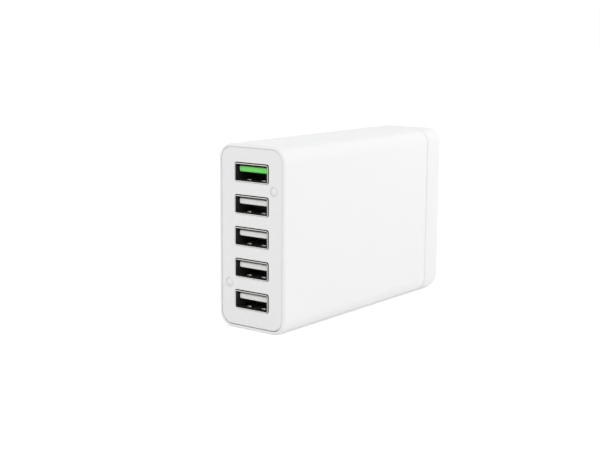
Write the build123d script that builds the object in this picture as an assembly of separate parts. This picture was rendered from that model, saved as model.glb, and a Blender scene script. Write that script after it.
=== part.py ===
"""Five-port desktop charger standing on its narrow side, in millimetres, +Z up."""

import os

from build123d import *

# Fits and sheet stock shared by many pieces
FIT_GAP = 0.1
PART_GAP = 0.8
BOARD_THICKNESS = 1.6
LEAD = 0.6

# Port row: standard receptacles, stacked upright
PORT_COUNT = 5
PORT_PITCH = 10.0
PORT_RISE = 0.3
USB_WIDTH = 13.1
USB_HEIGHT = 5.72
USB_LENGTH = 13.9
USB_SHEET = 0.3
USB_CORNER = 0.6
USB_PROUD = 0.2
WINDOW_GAP = 0.15

# Spring tabs cut from the receptacle sheet
TAB_OFFSET = 2.9
TAB_WIDTH = 1.6
TAB_SLIT = 0.25
TAB_START = 2.6
TAB_LENGTH = 6.0
TAB_RISE = 0.55
TAB_STEP = 0.35
TAB_CREST_SHARE = 0.6
TAB_TIP_SHARE = 0.25
TAB_SHEET = 0.25

# Receptacle legs and the moulded tongue with its four contacts
LEG_WIDTH = 1.8
LEG_STUB = 0.8
TONGUE_WIDTH = 11.1
TONGUE_THICKNESS = 1.8
TONGUE_BASE = 0.14
TONGUE_SETBACK = 1.1
TONGUE_CORNER = 0.5
TONGUE_CHAMFER = 0.25
BLOCK_LENGTH = 3.5
BLOCK_STANDOFF = 0.5
CONTACT_OFFSETS = (-3.5, -1.0, 1.0, 3.5)
CONTACT_WIDTH = 1.0
CONTACT_SHEET = 0.25
CONTACT_BOW = 0.45
CONTACT_CREST = 2.5
CONTACT_FOOT = 1.6
GROOVE_WIDTH = 1.2
GROOVE_DEPTH = 0.35

# Casing walls, edges and front panel
WALL = 2.0
CORNER_RADIUS = 5.0
END_MARGIN = 6.14
RIM = 0.9
RIM_EDGE_RADIUS = 0.7
PANEL_RECESS = 0.4
PANEL_THICKNESS = 2.0
PANEL_BEVEL = 0.25

# Rear cap
CAP_LENGTH = 11.2
CAP_EDGE_RADIUS = 4.0
SEAM_BEVEL = 0.25
SPIGOT_LENGTH = 4.0
SPIGOT_WALL = 1.4
SNAP_WIDTH = 10.0
SNAP_LENGTH = 1.5
SNAP_HEIGHT = 0.6

# Panel screws under round plugs
BOSS_RADIUS = 2.1
BOSS_GAP = 0.2
BOSS_LENGTH = 8.0
BOSS_WEB = 1.2
SCREW_RADIUS = 0.85
SCREW_HEAD_RADIUS = 1.4
SCREW_HEAD_HEIGHT = 0.75
SCREW_LENGTH = 7.5
SCREW_SEAT_DEPTH = 1.3
SCREW_FIT = 0.05
PLUG_RADIUS = 1.45
PLUG_PROUD = 0.3
PLUG_STEP = 0.05

# Stack across the width: solder side, board, transformer, pad, spreader
SOLDER_SPACE = 2.9
TRANSFORMER_HEIGHT = 15.5
PAD_THICKNESS = 1.1
SPREADER_THICKNESS = 0.8
SHEET_THICKNESS = 0.4
SHEET_HALF_HEIGHT = 22.0

# Board guides
RAIL_HEIGHT = 2.2
RAIL_THICKNESS = 1.2
BOARD_FLOOR_GAP = 0.3
BOARD_REAR_GAP = 3.25
BOARD_TAB = 5.0
BOARD_TAB_STUB = 0.5
USB_BOARD_SIDE_GAP = 0.6
USB_BOARD_END_GAP = 1.0
USB_BOARD_CORNER = 2.0

# Mains inlet: two round pins in a figure-eight socket
INLET_WIDTH = 13.0
INLET_HEIGHT = 20.5
INLET_DEPTH = 18.25
INLET_TAIL_SPACE = 3.0
INLET_PIN_PITCH = 8.6
INLET_LOBE_RADIUS = 4.1
INLET_WAIST = 5.8
INLET_NOSE_WALL = 0.8
INLET_NOSE_RECESS = 0.3
INLET_SOCKET_DEPTH = 12.2
INLET_PIN_RADIUS = 1.2
INLET_PIN_LENGTH = 9.2
INLET_SHANK_RADIUS = 1.0
INLET_TAIL = 1.0

# Output side of the main board
CONTROLLER_WIDTH = 3.9
CONTROLLER_LENGTH = 4.9
CONTROLLER_HEIGHT = 1.6
CONTROLLER_X = 3.0
OUTPUT_CHOKE_DIAMETER = 12.75
OUTPUT_CHOKE_HEIGHT = 6.0
OUTPUT_CHOKE_RISE = 14.0
RECTIFIER_THICKNESS = 2.3
SINK_THICKNESS = 1.5
SINK_HEIGHT = 12.5
OUTPUT_SINK_LENGTH = 17.0
OUTPUT_SINK_RISE = 13.0
OUTPUT_CAN_COUNT = 3
OUTPUT_CAN_DIAMETER = 8.0
OUTPUT_CAN_HEIGHT = 12.0
OUTPUT_CAN_DROP = 18.0
Y_CAPACITOR_DIAMETER = 7.0
Y_CAPACITOR_THICKNESS = 3.5
Y_CAPACITOR_DROP = 16.0
OPTOCOUPLER_SIZE = (3.4, 6.0, 4.6)
OPTOCOUPLER_DROP = 6.0

# Power stage of the main board
TRANSFORMER_LENGTH = 15.0
TRANSFORMER_SPAN = 20.0
TRANSFORMER_RISE = 12.5
CORE_FOOT = 0.6
CORE_WIDTH = 11.0
CORE_PLATE = 3.0
CORE_OUTER_LEG = 2.5
CORE_CENTRE_RADIUS = 3.5
BOBBIN_WALL = 0.8
BOBBIN_FIT = 0.05
WINDING_MARGIN = 0.3
CHOKE_DIAMETER = 16.4
CHOKE_HEIGHT = 8.5
CHOKE_BORE_SHARE = 0.38
CHOKE_WIRE_SHARE = 0.075
CHOKE_ARC = 140.0
BULK_DIAMETER = 12.5
BULK_LENGTH = 18.5
BULK_DROP = 12.8
CRIMP_SET = 2.2
CRIMP_WIDTH = 1.2
CRIMP_DEPTH = 0.5
BRIDGE_LENGTH = 15.0
BRIDGE_THICKNESS = 3.4
BRIDGE_HEIGHT = 10.0
POWER_SINK_LENGTH = 24.0
POWER_SINK_DROP = 2.2
SWITCH_WIDTH = 6.6
SWITCH_HEIGHT = 6.1
SWITCH_TAB_HEIGHT = 1.0
SWITCH_LEAD = 3.0

# Input side of the main board
VARISTOR_DIAMETER = 9.0
VARISTOR_THICKNESS = 4.0
DISC_LEAD = 1.2
FUSE_DIAMETER = 8.4
FUSE_HEIGHT = 7.7
INPUT_RISE = 17.0
X_CAPACITOR_SIZE = (12.0, 13.0, 6.0)
PART_BEVEL = 0.6

# Overall sizes that follow from the pieces inside
COOLING_STACK = PAD_THICKNESS + SPREADER_THICKNESS + FIT_GAP
INNER_WIDTH = SOLDER_SPACE + BOARD_THICKNESS + TRANSFORMER_HEIGHT + COOLING_STACK
WIDTH = INNER_WIDTH + 2 * WALL
HEIGHT = (PORT_COUNT - 1) * PORT_PITCH + USB_HEIGHT + 2 * END_MARGIN
INNER_HEIGHT = HEIGHT - 2 * WALL
INNER_RADIUS = CORNER_RADIUS - WALL
OUTPUT_SINK_ZONE = RECTIFIER_THICKNESS + SINK_THICKNESS + PART_GAP
OUTPUT_ZONE = CONTROLLER_HEIGHT + OUTPUT_CHOKE_DIAMETER + OUTPUT_SINK_ZONE + 2 * PART_GAP
POWER_ZONE = TRANSFORMER_LENGTH + CHOKE_DIAMETER + 2 * PART_GAP
INLET_ZONE = INLET_DEPTH + INLET_TAIL_SPACE
PORT_ZONE = PANEL_RECESS - USB_PROUD + USB_LENGTH + BOARD_THICKNESS
DEPTH = PORT_ZONE + OUTPUT_ZONE + POWER_ZONE + INLET_ZONE + WALL

# Stations from the front face to the rear face
FRONT_Y = -DEPTH / 2
REAR_Y = DEPTH / 2
PANEL_FRONT_Y = FRONT_Y + PANEL_RECESS
PANEL_BACK_Y = PANEL_FRONT_Y + PANEL_THICKNESS
USB_FRONT_Y = PANEL_FRONT_Y - USB_PROUD
USB_BOARD_Y = USB_FRONT_Y + USB_LENGTH
OUTPUT_Y = USB_BOARD_Y + BOARD_THICKNESS
POWER_Y = OUTPUT_Y + OUTPUT_ZONE
INLET_Y = POWER_Y + POWER_ZONE
REAR_INNER_Y = REAR_Y - WALL
SEAM_Y = REAR_Y - CAP_LENGTH
SPIGOT_Y = SEAM_Y - SPIGOT_LENGTH
BOARD_REAR_Y = REAR_INNER_Y - BOARD_REAR_GAP

# Heights and sideways stations
MID_Z = HEIGHT / 2
PORT_MID_Z = MID_Z + PORT_RISE
PORT_TOP_Z = PORT_MID_Z + (PORT_COUNT - 1) / 2 * PORT_PITCH
BOARD_FACE_X = SOLDER_SPACE + BOARD_THICKNESS - INNER_WIDTH / 2
BOARD_BACK_X = BOARD_FACE_X - BOARD_THICKNESS
SCREW_X = USB_WIDTH / 2 + BOSS_GAP + BOSS_RADIUS
SCREW_RISE = (PORT_COUNT - 2) / 2 * PORT_PITCH
SCREW_SEAT_Y = PANEL_FRONT_Y + SCREW_SEAT_DEPTH
INLET_X = BOARD_FACE_X + INLET_WIDTH / 2
OUTPUT_CHOKE_Y = OUTPUT_Y + CONTROLLER_HEIGHT + PART_GAP + OUTPUT_CHOKE_DIAMETER / 2
TRANSFORMER_Y = POWER_Y + TRANSFORMER_LENGTH / 2
CHOKE_Y = INLET_Y - PART_GAP - CHOKE_DIAMETER / 2
SPREADER_X = INNER_WIDTH / 2 - FIT_GAP - SPREADER_THICKNESS


def prism_along_y(profile, y_from, y_to, centre_x, centre_z):
    """Extrude an (x, z) profile from one depth station to another."""
    plane = Plane(origin=(centre_x, y_to, centre_z), x_dir=(1, 0, 0), z_dir=(0, -1, 0))
    return extrude(plane * profile, y_to - y_from, dir=plane.z_dir)


def prism_along_x(profile, x_from, x_to, centre_y, centre_z):
    """Extrude a (y, z) profile sideways from one station to another."""
    plane = Plane(origin=(x_from, centre_y, centre_z), x_dir=(0, 1, 0), z_dir=(1, 0, 0))
    return extrude(plane * profile, x_to - x_from, dir=plane.z_dir)


def block(x_from, x_to, y_from, y_to, z_from, z_to):
    """Plain block between six stations."""
    centre = Pos((x_from + x_to) / 2, (y_from + y_to) / 2, (z_from + z_to) / 2)
    return centre * Box(abs(x_to - x_from), abs(y_to - y_from), abs(z_to - z_from))


def rod_along_y(radius, y_from, y_to, x, z):
    """Round rod running front to back."""
    return prism_along_y(Circle(radius), y_from, y_to, x, z)


def rod_along_x(radius, x_from, x_to, y, z):
    """Round rod running sideways."""
    return prism_along_x(Circle(radius), x_from, x_to, y, z)


def bent_strip(path, thickness, width):
    """Flat strip of metal following a path of (y, z) points, centred on x = 0."""
    points = [Vector(y, z) for y, z in path]
    steps = [(end - start).normalized() for start, end in zip(points, points[1:])]
    befores = [steps[0]] + steps
    afters = steps + [steps[-1]]
    upper = []
    lower = []
    for point, before, after in zip(points, befores, afters):
        mean = (before + after).normalized()
        reach = Vector(-mean.Y, mean.X) * (thickness / 2 / mean.dot(after))
        upper.append(point + reach)
        lower.insert(0, point - reach)
    return prism_along_x(Polygon(*upper, *lower, align=None), -width / 2, width / 2, 0, 0)


def front_edges(part):
    """Edges round the frontmost face."""
    return part.faces().sort_by(Axis.Y)[0].edges()


def rear_edges(part):
    """Edges round the rearmost face."""
    return part.faces().sort_by(Axis.Y)[-1].edges()


def screw_places():
    """The two panel screws: upper right and lower left of the port row."""
    return ((SCREW_X, PORT_MID_Z + SCREW_RISE), (-SCREW_X, PORT_MID_Z - SCREW_RISE))


def port_heights():
    """Centre height of each port, top to bottom."""
    return [PORT_TOP_Z - index * PORT_PITCH for index in range(PORT_COUNT)]


def make_rails():
    """Two pairs of ribs that hold the long edges of the main board."""
    rails = Part()
    y_from = OUTPUT_Y + PART_GAP
    y_to = SPIGOT_Y - PART_GAP
    for side in (-1, 1):
        root = MID_Z + side * (HEIGHT - WALL) / 2
        crest = MID_Z + side * (INNER_HEIGHT / 2 - RAIL_HEIGHT)
        outer = BOARD_BACK_X - FIT_GAP
        inner = BOARD_FACE_X + FIT_GAP
        rails += block(outer - RAIL_THICKNESS, outer, y_from, y_to, root, crest)
        rails += block(inner, inner + RAIL_THICKNESS, y_from, y_to, root, crest)
    return rails


def make_sleeve():
    """Moulded tube with a seat for the panel, rails, screw bosses and snap pockets."""
    sleeve = prism_along_y(RectangleRounded(WIDTH, HEIGHT, CORNER_RADIUS), FRONT_Y, SEAM_Y, 0, MID_Z)
    sleeve = fillet(front_edges(sleeve), RIM_EDGE_RADIUS)
    sleeve = chamfer(rear_edges(sleeve), SEAM_BEVEL)
    bore = RectangleRounded(INNER_WIDTH, INNER_HEIGHT, INNER_RADIUS)
    seat = RectangleRounded(WIDTH - 2 * RIM, HEIGHT - 2 * RIM, CORNER_RADIUS - RIM)
    sleeve -= prism_along_y(bore, FRONT_Y, SEAM_Y, 0, MID_Z)
    sleeve -= prism_along_y(seat, FRONT_Y, PANEL_BACK_Y, 0, MID_Z)
    sleeve += make_rails()
    boss_end = PANEL_BACK_Y + BOSS_LENGTH
    for x, z in screw_places():
        wall_x = (WIDTH - WALL) / 2 * (1 if x > 0 else -1)
        sleeve += rod_along_y(BOSS_RADIUS, PANEL_BACK_Y, boss_end, x, z)
        sleeve += block(x, wall_x, PANEL_BACK_Y, boss_end, z - BOSS_WEB / 2, z + BOSS_WEB / 2)
        sleeve -= rod_along_y(SCREW_RADIUS + SCREW_FIT, PANEL_BACK_Y, boss_end, x, z)
    snap_y = (SPIGOT_Y + SEAM_Y) / 2
    for side in (-1, 1):
        inner = side * INNER_WIDTH / 2
        outer = inner + side * SNAP_HEIGHT
        reach_y = SNAP_LENGTH / 2 + FIT_GAP
        reach_z = SNAP_WIDTH / 2 + FIT_GAP
        sleeve -= block(inner, outer, snap_y - reach_y, snap_y + reach_y, MID_Z - reach_z, MID_Z + reach_z)
    return sleeve


def make_front_panel():
    """Flat panel with a window for each port and two deep screw holes."""
    inset = 2 * (RIM + FIT_GAP)
    outline = RectangleRounded(WIDTH - inset, HEIGHT - inset, CORNER_RADIUS - inset / 2)
    panel = prism_along_y(outline, PANEL_FRONT_Y, PANEL_BACK_Y, 0, MID_Z)
    panel = chamfer(front_edges(panel), PANEL_BEVEL)
    window_width = USB_WIDTH + 2 * WINDOW_GAP
    window_height = USB_HEIGHT + 2 * WINDOW_GAP
    window = RectangleRounded(window_width, window_height, USB_CORNER + WINDOW_GAP)
    for z in port_heights():
        panel -= prism_along_y(window, PANEL_FRONT_Y, PANEL_BACK_Y, 0, z)
    for x, z in screw_places():
        panel -= rod_along_y(PLUG_RADIUS + SCREW_FIT, PANEL_FRONT_Y, SCREW_SEAT_Y, x, z)
        panel -= rod_along_y(SCREW_RADIUS + SCREW_FIT, SCREW_SEAT_Y, PANEL_BACK_Y, x, z)
    return panel


def make_screw(x, z):
    """Self-tapping screw with a flat head, seated in the panel."""
    head_y = SCREW_SEAT_Y - SCREW_HEAD_HEIGHT
    screw = rod_along_y(SCREW_HEAD_RADIUS, head_y, SCREW_SEAT_Y, x, z)
    screw += rod_along_y(SCREW_RADIUS, SCREW_SEAT_Y, SCREW_SEAT_Y + SCREW_LENGTH, x, z)
    return screw


def make_plug(x, z):
    """Round plug over a screw head, with a low domed face proud of the panel."""
    face_y = PANEL_FRONT_Y - PLUG_PROUD
    rise = PLUG_PROUD - PLUG_STEP
    dome_radius = (PLUG_RADIUS ** 2 + rise ** 2) / (2 * rise)
    plug = rod_along_y(PLUG_RADIUS, face_y, SCREW_SEAT_Y - SCREW_HEAD_HEIGHT, x, z)
    return plug & Pos(x, face_y + dome_radius, z) * Sphere(dome_radius)


def make_rear_cap():
    """Moulded end cap with rounded edges, a snap-in spigot and the inlet opening."""
    cap = prism_along_y(RectangleRounded(WIDTH, HEIGHT, CORNER_RADIUS), SEAM_Y, REAR_Y, 0, MID_Z)
    cap = fillet(rear_edges(cap), CAP_EDGE_RADIUS)
    cap = chamfer(front_edges(cap), SEAM_BEVEL)
    bore = RectangleRounded(INNER_WIDTH, INNER_HEIGHT, INNER_RADIUS)
    hollow = prism_along_y(bore, SEAM_Y, REAR_INNER_Y, 0, MID_Z)
    hollow = chamfer(rear_edges(hollow), (CAP_EDGE_RADIUS - WALL) / 2)
    spigot_width = INNER_WIDTH - 2 * FIT_GAP
    spigot_height = INNER_HEIGHT - 2 * FIT_GAP
    spigot_radius = INNER_RADIUS - FIT_GAP
    tube = RectangleRounded(spigot_width, spigot_height, spigot_radius)
    shaft = RectangleRounded(
        spigot_width - 2 * SPIGOT_WALL, spigot_height - 2 * SPIGOT_WALL, spigot_radius - SPIGOT_WALL
    )
    cap -= hollow
    cap += prism_along_y(tube, SPIGOT_Y, SEAM_Y, 0, MID_Z)
    collar = RectangleRounded(INNER_WIDTH, INNER_HEIGHT, INNER_RADIUS)
    cap += prism_along_y(collar, SEAM_Y, SEAM_Y + SPIGOT_WALL, 0, MID_Z)
    cap -= prism_along_y(shaft, SPIGOT_Y, SEAM_Y + SPIGOT_WALL, 0, MID_Z)
    snap_y = (SPIGOT_Y + SEAM_Y) / 2
    for side in (-1, 1):
        root = side * (spigot_width / 2 - SPIGOT_WALL / 2)
        crest = side * (spigot_width / 2 + SNAP_HEIGHT)
        cap += block(
            root, crest,
            snap_y - SNAP_LENGTH / 2, snap_y + SNAP_LENGTH / 2,
            MID_Z - SNAP_WIDTH / 2, MID_Z + SNAP_WIDTH / 2,
        )
    board_slot = block(
        BOARD_BACK_X - FIT_GAP, BOARD_FACE_X + FIT_GAP,
        SPIGOT_Y, BOARD_REAR_Y + FIT_GAP,
        WALL, HEIGHT - WALL,
    )
    cap -= board_slot
    cap -= prism_along_y(nose_profile(FIT_GAP), REAR_INNER_Y, REAR_Y, INLET_X, MID_Z)
    return cap


def nose_profile(gap):
    """Long round outline of the inlet nose, grown by a gap."""
    width = 2 * (INLET_LOBE_RADIUS + INLET_NOSE_WALL + gap)
    return SlotCenterToCenter(INLET_PIN_PITCH, width, rotation=90)


def make_inlet_body():
    """Black inlet moulding with a figure-eight socket, standing on the main board."""
    face_y = REAR_Y - INLET_NOSE_RECESS
    front_y = REAR_INNER_Y - INLET_DEPTH
    socket_y = face_y - INLET_SOCKET_DEPTH
    body = prism_along_y(Rectangle(INLET_WIDTH, INLET_HEIGHT), front_y, REAR_INNER_Y, INLET_X, MID_Z)
    body += prism_along_y(nose_profile(0), REAR_INNER_Y, face_y, INLET_X, MID_Z)
    figure = Rectangle(INLET_WAIST, INLET_PIN_PITCH)
    for side in (-1, 1):
        figure += Pos(0, side * INLET_PIN_PITCH / 2) * Circle(INLET_LOBE_RADIUS)
    body -= prism_along_y(figure, socket_y, face_y, INLET_X, MID_Z)
    for side in (-1, 1):
        z = MID_Z + side * INLET_PIN_PITCH / 2
        body -= rod_along_y(INLET_SHANK_RADIUS, front_y, socket_y, INLET_X, z)
    return body


def make_inlet_pin(side):
    """Round contact pin with a thinner shank and a tail bent to the board."""
    z = MID_Z + side * INLET_PIN_PITCH / 2
    front_y = REAR_INNER_Y - INLET_DEPTH
    socket_y = REAR_Y - INLET_NOSE_RECESS - INLET_SOCKET_DEPTH
    pin = rod_along_y(INLET_PIN_RADIUS, socket_y, socket_y + INLET_PIN_LENGTH, INLET_X, z)
    pin = chamfer(rear_edges(pin), INLET_PIN_RADIUS / 2)
    pin += rod_along_y(INLET_SHANK_RADIUS, front_y - INLET_TAIL, socket_y, INLET_X, z)
    half = INLET_TAIL / 2
    tail_y = front_y - INLET_TAIL
    pin += block(BOARD_FACE_X, INLET_X, tail_y - INLET_TAIL, tail_y, z - half, z + half)
    return pin


def make_usb_shell():
    """Folded steel receptacle with four spring tabs and two board legs, front edge at y = 0."""
    outer = RectangleRounded(USB_WIDTH, USB_HEIGHT, USB_CORNER)
    inner = RectangleRounded(USB_WIDTH - 2 * USB_SHEET, USB_HEIGHT - 2 * USB_SHEET, USB_CORNER - USB_SHEET)
    tube = prism_along_y(outer - inner, 0, USB_LENGTH, 0, 0)
    slot = TAB_WIDTH / 2 + TAB_SLIT
    middle = (USB_HEIGHT - USB_SHEET) / 2
    tab_end = TAB_START + TAB_LENGTH
    for rise in (-1, 1):
        path = (
            (TAB_START - TAB_SHEET, rise * middle),
            (TAB_START, rise * middle),
            (TAB_START + TAB_STEP / 2, rise * (middle - TAB_STEP)),
            (TAB_START + TAB_LENGTH * TAB_CREST_SHARE, rise * (middle - TAB_RISE)),
            (tab_end - TAB_SLIT, rise * (middle - TAB_RISE * TAB_TIP_SHARE)),
        )
        tab = bent_strip(path, TAB_SHEET, TAB_WIDTH)
        for side in (-1, 1):
            x = side * TAB_OFFSET
            tube -= block(x - slot, x + slot, TAB_START, tab_end, 0, rise * USB_HEIGHT / 2)
            tube += Pos(x, 0, 0) * tab
    leg_end = USB_LENGTH + BOARD_THICKNESS + LEG_STUB
    for side in (-1, 1):
        outside = side * USB_WIDTH / 2
        inside = outside - side * USB_SHEET
        tube += block(outside, inside, USB_LENGTH - LEG_WIDTH, leg_end, -LEG_WIDTH / 2, LEG_WIDTH / 2)
    return tube


def contact_path():
    """Centre line of one contact: bowed under the tongue, back through the block, foot on the board."""
    level = TONGUE_BASE + CONTACT_SHEET / 2
    block_y = USB_LENGTH - BLOCK_STANDOFF - BLOCK_LENGTH
    foot_y = USB_LENGTH - CONTACT_SHEET / 2
    tip_y = TONGUE_SETBACK + GROOVE_WIDTH
    return (
        (tip_y, level),
        (tip_y + CONTACT_WIDTH, level),
        (tip_y + CONTACT_CREST, level - CONTACT_BOW),
        (block_y - CONTACT_WIDTH, level),
        (foot_y, level),
        (foot_y, level - CONTACT_FOOT),
    )


def make_usb_insulator():
    """Moulded block and tongue with a groove for each contact, front edge of the receptacle at y = 0."""
    clear_width = USB_WIDTH - 2 * USB_SHEET - FIT_GAP
    clear_height = USB_HEIGHT - 2 * USB_SHEET - FIT_GAP
    block_end = USB_LENGTH - BLOCK_STANDOFF
    block_y = block_end - BLOCK_LENGTH
    blade = RectangleRounded(TONGUE_WIDTH, TONGUE_THICKNESS, TONGUE_CORNER)
    tongue = prism_along_y(blade, TONGUE_SETBACK, block_y, 0, TONGUE_BASE + TONGUE_THICKNESS / 2)
    tongue = chamfer(front_edges(tongue), TONGUE_CHAMFER)
    rear = RectangleRounded(clear_width, clear_height, USB_CORNER - USB_SHEET)
    moulding = tongue + prism_along_y(rear, block_y, block_end, 0, 0)
    for x in CONTACT_OFFSETS:
        moulding -= block(
            x - GROOVE_WIDTH / 2, x + GROOVE_WIDTH / 2,
            TONGUE_SETBACK + CONTACT_WIDTH, block_end,
            TONGUE_BASE - FIT_GAP, TONGUE_BASE + GROOVE_DEPTH,
        )
    return moulding


def make_usb_contacts():
    """Four bowed contacts of one receptacle."""
    strip = bent_strip(contact_path(), CONTACT_SHEET, CONTACT_WIDTH)
    contacts = [Pos(x, 0, 0) * strip for x in CONTACT_OFFSETS]
    return Compound(children=contacts)


def make_usb_board():
    """Upright board behind the ports, slotted for the receptacle legs and the main board tabs."""
    outline = RectangleRounded(
        INNER_WIDTH - 2 * USB_BOARD_SIDE_GAP, INNER_HEIGHT - 2 * USB_BOARD_END_GAP, USB_BOARD_CORNER
    )
    board = prism_along_y(outline, USB_BOARD_Y, OUTPUT_Y, 0, MID_Z)
    leg_x = (USB_WIDTH - USB_SHEET) / 2
    leg_slot = Rectangle(USB_SHEET + 2 * FIT_GAP, LEG_WIDTH + 2 * FIT_GAP)
    for z in port_heights():
        for side in (-1, 1):
            board -= prism_along_y(leg_slot, USB_BOARD_Y, OUTPUT_Y, side * leg_x, z)
    tab_slot = Rectangle(BOARD_THICKNESS + 2 * FIT_GAP, BOARD_TAB + 2 * FIT_GAP)
    for z in board_tab_heights():
        board -= prism_along_y(tab_slot, USB_BOARD_Y, OUTPUT_Y, (BOARD_BACK_X + BOARD_FACE_X) / 2, z)
    return board


def board_tab_heights():
    """Heights of the two main board tabs, between ports."""
    return (PORT_MID_Z - SCREW_RISE, PORT_MID_Z + SCREW_RISE)


def make_charge_controller(z):
    """Small flat chip on the rear of the port board."""
    return block(
        CONTROLLER_X - CONTROLLER_WIDTH / 2, CONTROLLER_X + CONTROLLER_WIDTH / 2,
        OUTPUT_Y, OUTPUT_Y + CONTROLLER_HEIGHT,
        z - CONTROLLER_LENGTH / 2, z + CONTROLLER_LENGTH / 2,
    )


def make_main_board():
    """Long board in the sleeve rails, with two tabs through the port board."""
    low = WALL + BOARD_FLOOR_GAP
    front_y = OUTPUT_Y + LEG_STUB + FIT_GAP
    board = block(BOARD_BACK_X, BOARD_FACE_X, front_y, BOARD_REAR_Y, low, HEIGHT - low)
    for z in board_tab_heights():
        board += block(
            BOARD_BACK_X, BOARD_FACE_X,
            USB_BOARD_Y - BOARD_TAB_STUB, front_y,
            z - BOARD_TAB / 2, z + BOARD_TAB / 2,
        )
    return board


def make_lead(x_from, x_to, y, z):
    """Straight square lead standing on the main board."""
    return prism_along_x(Rectangle(LEAD, LEAD), x_from, x_to, y, z)


def make_disc(diameter, thickness, y, z):
    """Coated disc component standing on two wire leads."""
    centre_x = BOARD_FACE_X + DISC_LEAD + diameter / 2
    disc = rod_along_y(diameter / 2, y - thickness / 2, y + thickness / 2, centre_x, z)
    disc = chamfer(disc.edges().filter_by(GeomType.CIRCLE), thickness / 3)
    for side in (-1, 1):
        disc += make_lead(BOARD_FACE_X, centre_x, y, z + side * diameter / 4)
    return disc


def make_can(diameter, length):
    """Aluminium capacitor can along +Z from the origin, crimped near its base."""
    can = Cylinder(diameter / 2, length, align=(Align.CENTER, Align.CENTER, Align.MIN))
    ring = Cylinder(diameter / 2, CRIMP_WIDTH) - Cylinder(diameter / 2 - CRIMP_DEPTH, CRIMP_WIDTH)
    return can - Pos(0, 0, CRIMP_SET) * ring


def make_bulk_capacitor(index):
    """Large can lying across the main board with bent leads."""
    y = POWER_Y + PART_GAP + BULK_DIAMETER / 2 + index * (BULK_DIAMETER + PART_GAP)
    x = BOARD_FACE_X + BULK_DIAMETER / 2
    base_z = MID_Z - BULK_DROP - BULK_LENGTH / 2
    can = Pos(x, y, base_z) * make_can(BULK_DIAMETER, BULK_LENGTH)
    for side in (-1, 1):
        lead_y = y + side * BULK_DIAMETER / 5
        can += make_lead(BOARD_FACE_X, x, lead_y, base_z - LEAD / 2)
    return can


def make_output_capacitor(index):
    """Small can standing on the main board."""
    z = MID_Z - OUTPUT_CAN_DROP + index * (OUTPUT_CAN_DIAMETER + PART_GAP)
    can = Rot(0, 90, 0) * make_can(OUTPUT_CAN_DIAMETER, OUTPUT_CAN_HEIGHT)
    return Pos(BOARD_FACE_X, OUTPUT_CHOKE_Y, z) * can


def ring_section(outer_radius, bore_radius, height):
    """Cross section of a ring, drawn beside the Z axis."""
    centre = Pos((outer_radius + bore_radius) / 2, 0)
    return centre * Rectangle(outer_radius - bore_radius, height)


def make_ring_core(diameter, height, y, z):
    """Ferrite ring lying on the main board inside its winding."""
    wire = diameter * CHOKE_WIRE_SHARE
    bore = diameter * CHOKE_BORE_SHARE
    section = ring_section(diameter / 2 - wire, bore / 2 + wire, height - 2 * wire)
    core = revolve(Plane.XZ * section, Axis.Z)
    return Pos(BOARD_FACE_X + height / 2, y, z) * Rot(0, 90, 0) * core


def make_ring_winding(diameter, height, y, z, start, arc):
    """Wire wound round part of a ferrite ring."""
    wire = diameter * CHOKE_WIRE_SHARE
    bore = diameter * CHOKE_BORE_SHARE
    outer = ring_section(diameter / 2, bore / 2, height)
    inner = ring_section(diameter / 2 - wire, bore / 2 + wire, height - 2 * wire)
    winding = revolve(Plane.XZ * (outer - inner), Axis.Z, arc)
    return Pos(BOARD_FACE_X + height / 2, y, z) * Rot(0, 90, 0) * Rot(0, 0, start) * winding


def make_core_half(side):
    """One half of the transformer core: plate, two outer legs and a round centre leg."""
    z = MID_Z + TRANSFORMER_RISE
    low = BOARD_FACE_X + CORE_FOOT
    high = BOARD_FACE_X + TRANSFORMER_HEIGHT
    middle = (low + high) / 2
    end = low if side < 0 else high
    plate = end - side * CORE_PLATE
    y_from = TRANSFORMER_Y - CORE_WIDTH / 2
    y_to = TRANSFORMER_Y + CORE_WIDTH / 2
    half = block(end, plate, y_from, y_to, z - TRANSFORMER_SPAN / 2, z + TRANSFORMER_SPAN / 2)
    for leg in (-1, 1):
        outside = z + leg * TRANSFORMER_SPAN / 2
        half += block(end, middle, y_from, y_to, outside, outside - leg * CORE_OUTER_LEG)
    centre_from = middle if side > 0 else end
    centre_to = end if side > 0 else middle
    half += rod_along_x(CORE_CENTRE_RADIUS, centre_from, centre_to, TRANSFORMER_Y, z)
    return half


def make_bobbin():
    """Spool on the centre leg with two flanges and two feet on the board."""
    z = MID_Z + TRANSFORMER_RISE
    low = BOARD_FACE_X + CORE_FOOT + CORE_PLATE + BOBBIN_FIT
    high = BOARD_FACE_X + TRANSFORMER_HEIGHT - CORE_PLATE - BOBBIN_FIT
    barrel = CORE_CENTRE_RADIUS + BOBBIN_FIT
    flange_span = TRANSFORMER_SPAN - 2 * (CORE_OUTER_LEG + FIT_GAP)
    flange = Rectangle(TRANSFORMER_LENGTH, flange_span)
    bobbin = prism_along_x(flange, low, low + BOBBIN_WALL, TRANSFORMER_Y, z)
    bobbin += prism_along_x(flange, high - BOBBIN_WALL, high, TRANSFORMER_Y, z)
    bobbin += rod_along_x(barrel + BOBBIN_WALL, low, high, TRANSFORMER_Y, z)
    bobbin -= rod_along_x(barrel, low, high, TRANSFORMER_Y, z)
    for side in (-1, 1):
        outside = TRANSFORMER_Y + side * TRANSFORMER_LENGTH / 2
        inside = TRANSFORMER_Y + side * (CORE_WIDTH / 2 + FIT_GAP)
        bobbin += block(BOARD_FACE_X, low, outside, inside, z - flange_span / 2, z + flange_span / 2)
    return bobbin


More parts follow.
